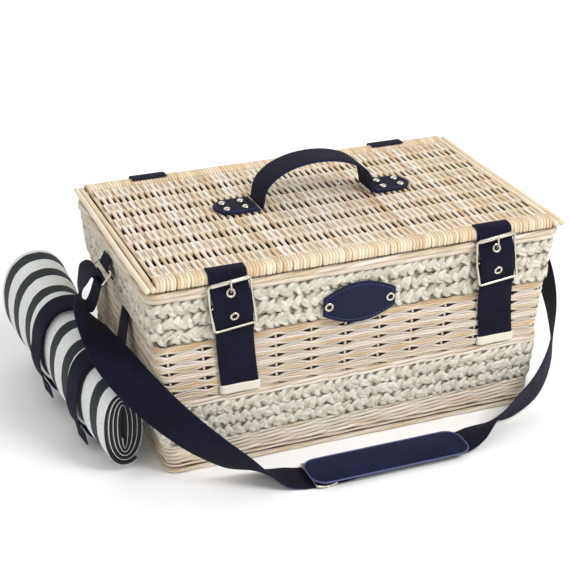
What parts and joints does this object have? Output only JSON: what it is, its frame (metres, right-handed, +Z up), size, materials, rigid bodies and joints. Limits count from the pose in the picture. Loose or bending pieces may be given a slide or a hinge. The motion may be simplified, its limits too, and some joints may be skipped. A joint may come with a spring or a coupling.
{
  "type": "wicker picnic basket",
  "caption": "Rectangular wicker picnic basket with hinged lid, buckled straps, arched carry handle, padded shoulder strap and a rolled blanket strapped to one side.",
  "frame": {"origin": "centre of the whole outline, blanket and straps included, on the ground plane under the foot border", "axes": "+Z up; -Y towards the front, which has the latches and the badge; the blanket hangs on the -X side"},
  "size_m": [0.5814, 0.394, 0.2728],
  "materials": {
    "willow": "peeled willow, pale straw, satin",
    "seagrass": "whitewashed twisted grass, matt",
    "webbing": "navy woven webbing",
    "badge": "navy patch, blank",
    "metal": "pale nickel plate",
    "blanket": "off-white fleece with dark stripes",
    "pad": "navy padded fabric"
  },
  "bodies": {
    "basket": {"foot_border": "willow", "bottom_wale": "willow", "lower_seagrass_band": "seagrass", "waist_wale": "willow", "willow_randing": "willow", "upper_seagrass_band": "seagrass", "rim_border": "willow", "base_weave": "willow", "hinge_strap_left": "webbing", "hinge_strap_right": "webbing", "badge": "badge", "badge_eyelet_left": "metal", "badge_eyelet_right": "metal", "ring_tab_left": "webbing", "ring_tab_right": "webbing", "blanket_strap_upper_front": "webbing", "blanket_strap_upper_rear": "webbing", "blanket_strap_lower_front": "webbing", "blanket_strap_lower_rear": "webbing"},
    "lid": {"lid_front_border": "willow", "lid_rear_border": "willow", "lid_weave": "willow", "lid_rod_left_inner": "willow", "lid_rod_left_outer": "willow", "lid_rod_right_inner": "willow", "lid_rod_right_outer": "willow", "handle_foot_left": "webbing", "handle_foot_right": "webbing", "handle_rivet_left_1": "metal", "handle_rivet_left_2": "metal", "handle_rivet_left_3": "metal", "handle_rivet_left_4": "metal", "handle_rivet_right_1": "metal", "handle_rivet_right_2": "metal", "handle_rivet_right_3": "metal", "handle_rivet_right_4": "metal"},
    "handle": {"handle_grip": "webbing"},
    "billet_left": {"billet_left": "webbing", "billet_eyelet_left_1": "metal", "billet_eyelet_left_2": "metal"},
    "latch_left": {"chape_left": "webbing", "buckle_frame_left": "metal"},
    "tongue_left": {"buckle_tongue_left": "metal"},
    "roller_left": {"buckle_roller_left": "metal"},
    "billet_right": {"billet_right": "webbing", "billet_eyelet_right_1": "metal", "billet_eyelet_right_2": "metal"},
    "latch_right": {"chape_right": "webbing", "buckle_frame_right": "metal"},
    "tongue_right": {"buckle_tongue_right": "metal"},
    "roller_right": {"buckle_roller_right": "metal"},
    "blanket": {"blanket_roll": "blanket"},
    "shoulder_strap": {"shoulder_strap_left": "webbing", "shoulder_strap_right": "webbing", "shoulder_pad": "pad", "strap_slider": "metal", "strap_ring_left": "metal", "strap_ring_right": "metal"}
  },
  "joints": [
    {"name": "lid_hinge", "type": "hinge", "parent": "basket", "child": "lid", "pos_m": [0.022, 0.1514, 0.212], "axis": [-1, 0, 0], "range_deg": [0, 105], "deforming": ["hinge_strap_left", "hinge_strap_right"]},
    {"name": "handle_lean", "type": "hinge", "parent": "lid", "child": "handle", "pos_m": [0.0275, 0.026, 0.2265], "axis": [1, 0, 0], "range_deg": [-40, 40], "stiffness_Nm_per_rad": 0.1, "deforming": ["handle_grip"]},
    {"name": "billet_swing_left", "type": "hinge", "parent": "lid", "child": "billet_left", "pos_m": [-0.124, -0.1272, 0.21], "axis": [1, 0, 0], "range_deg": [0, 90], "deforming": ["billet_left", "billet_eyelet_left_1", "billet_eyelet_left_2"]},
    {"name": "latch_swing_left", "type": "hinge", "parent": "basket", "child": "latch_left", "pos_m": [-0.1093, -0.1178, 0.0908], "axis": [0.9936, 0, 0.1132], "range_deg": [0, 120], "deforming": ["chape_left"]},
    {"name": "tongue_swing_left", "type": "hinge", "parent": "latch_left", "child": "tongue_left", "pos_m": [-0.1208, -0.1282, 0.1922], "axis": [0.9936, 0, 0.1132], "range_deg": [0, 110]},
    {"name": "roller_spin_left", "type": "hinge", "parent": "latch_left", "child": "roller_left", "pos_m": [-0.1237, -0.1306, 0.217], "axis": [0.9936, 0, 0.1132], "continuous": true},
    {"name": "billet_swing_right", "type": "hinge", "parent": "lid", "child": "billet_right", "pos_m": [0.168, -0.1272, 0.21], "axis": [1, 0, 0], "range_deg": [0, 90], "deforming": ["billet_right", "billet_eyelet_right_1", "billet_eyelet_right_2"]},
    {"name": "latch_swing_right", "type": "hinge", "parent": "basket", "child": "latch_right", "pos_m": [0.1827, -0.1178, 0.0908], "axis": [0.9936, 0, 0.1132], "range_deg": [0, 120], "deforming": ["chape_right"]},
    {"name": "tongue_swing_right", "type": "hinge", "parent": "latch_right", "child": "tongue_right", "pos_m": [0.1712, -0.1282, 0.1922], "axis": [0.9936, 0, 0.1132], "range_deg": [0, 110]},
    {"name": "roller_spin_right", "type": "hinge", "parent": "latch_right", "child": "roller_right", "pos_m": [0.1683, -0.1306, 0.217], "axis": [0.9936, 0, 0.1132], "continuous": true},
    {"name": "blanket_slide", "type": "slide", "parent": "basket", "child": "blanket", "axis": [0, 0.9959, 0.091], "range_m": [0, 0.19]},
    {"name": "shoulder_strap_swing", "type": "hinge", "parent": "basket", "child": "shoulder_strap", "pos_m": [0.022, 0.012, 0.188], "axis": [-1, 0, 0], "range_deg": [0, 135], "deforming": ["ring_tab_left", "ring_tab_right", "shoulder_strap_left", "shoulder_strap_right"]}
  ],
  "couplings": [
    {"joint": "billet_swing_left", "follows": "lid_hinge", "ratio": 0.8},
    {"joint": "billet_swing_right", "follows": "lid_hinge", "ratio": 0.8}
  ]
}
